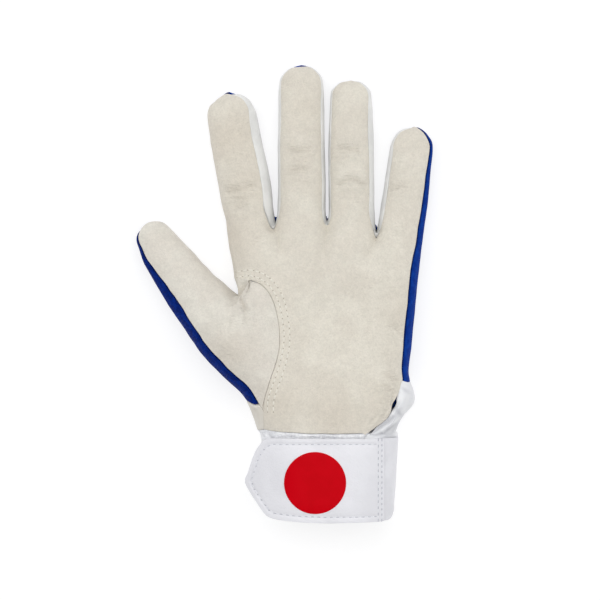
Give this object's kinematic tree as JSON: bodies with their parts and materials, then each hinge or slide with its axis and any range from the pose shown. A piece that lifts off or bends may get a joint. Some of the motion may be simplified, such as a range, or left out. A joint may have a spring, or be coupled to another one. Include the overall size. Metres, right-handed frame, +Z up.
{
  "type": "wicketkeeping inner glove",
  "caption": "Left-hand wicketkeeping inner glove lying palm up: soft chamois palm and thumb, blue stretch back, pale finger walls and a closed wrist strap with a bare red disc.",
  "frame": {"origin": "on the flat underside of the back, under the middle of the palm", "axes": "+X from the thumb side to the little finger, +Y to the fingertips, +Z up out of the palm"},
  "size_m": [0.1571, 0.2407, 0.0403],
  "materials": {
    "palm_leather": "brushed chamois, matt",
    "thumb_leather": "smoother chamois, matt",
    "side_leather": "smooth pale leather",
    "stretch_fabric": "blue stretch knit with a soft sheen",
    "pale_leather": "smooth cream leather",
    "coated_leather": "white coated leather, satin",
    "touch_tape": "looped touch-tape pile",
    "badge_print": "plain red rubbery print, satin"
  },
  "bodies": {
    "root": {"palm_panel": "palm_leather", "thumb_panel": "thumb_leather", "thumb_gusset": "thumb_leather", "fourchette_index_middle": "side_leather", "fourchette_middle_ring": "side_leather", "fourchette_ring_little": "side_leather", "back_panel": "stretch_fabric", "thumb_back": "stretch_fabric", "wrist_side": "pale_leather", "cuff": "coated_leather", "slit_flap": "coated_leather", "strap_root": "coated_leather", "wrist_strap": "coated_leather", "strap_pad": "touch_tape", "badge": "badge_print"}
  },
  "joints": []
}
